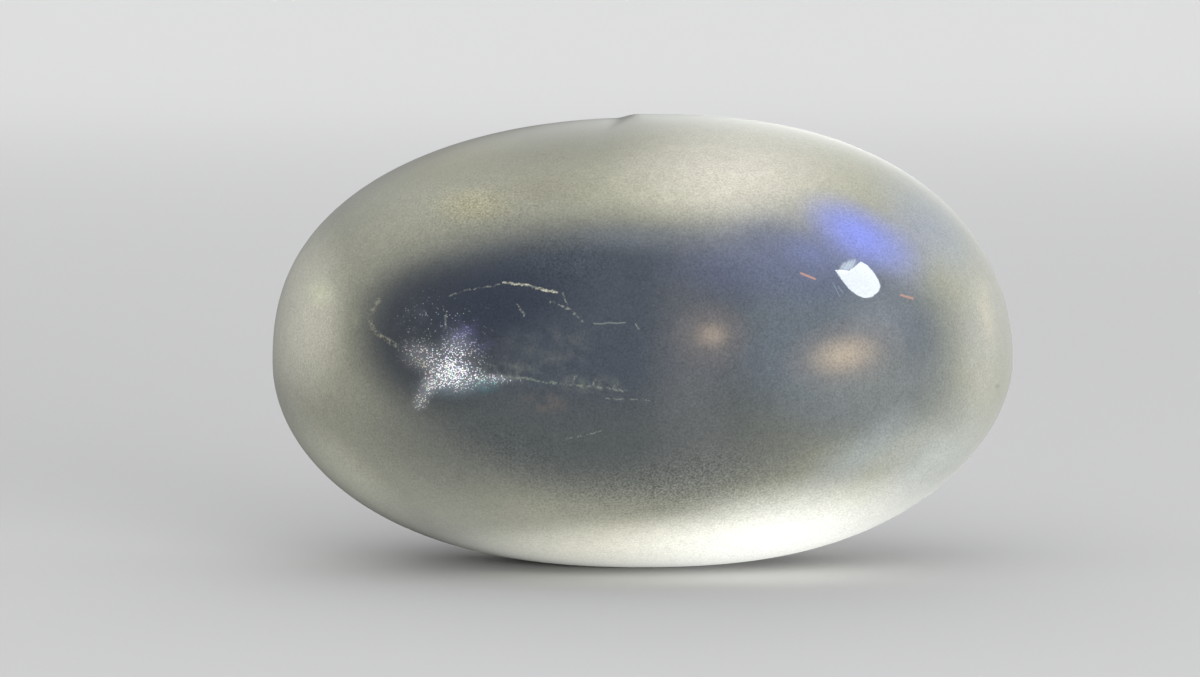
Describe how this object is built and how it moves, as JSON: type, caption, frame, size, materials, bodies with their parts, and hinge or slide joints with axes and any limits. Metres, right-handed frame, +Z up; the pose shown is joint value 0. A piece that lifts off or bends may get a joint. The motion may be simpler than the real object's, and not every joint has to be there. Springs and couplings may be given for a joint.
{
  "type": "polished oval moonstone",
  "caption": "Smooth polished oval moonstone, domed above and below, milky at the rim with a dark see-through heart and a blue sheen, lying on a small flat spot of its belly.",
  "frame": {"origin": "on the surface that the stone rests on, under the middle of its box and of its flat spot", "axes": "+X along the stone's long axis, +Y from the front that shows the dark heart to the back, +Z up from the flat spot to the crown"},
  "size_m": [0.0164, 0.012, 0.01],
  "materials": {
    "moonstone": "polished"
  },
  "bodies": {
    "root": {"moonstone": "moonstone"}
  },
  "joints": []
}
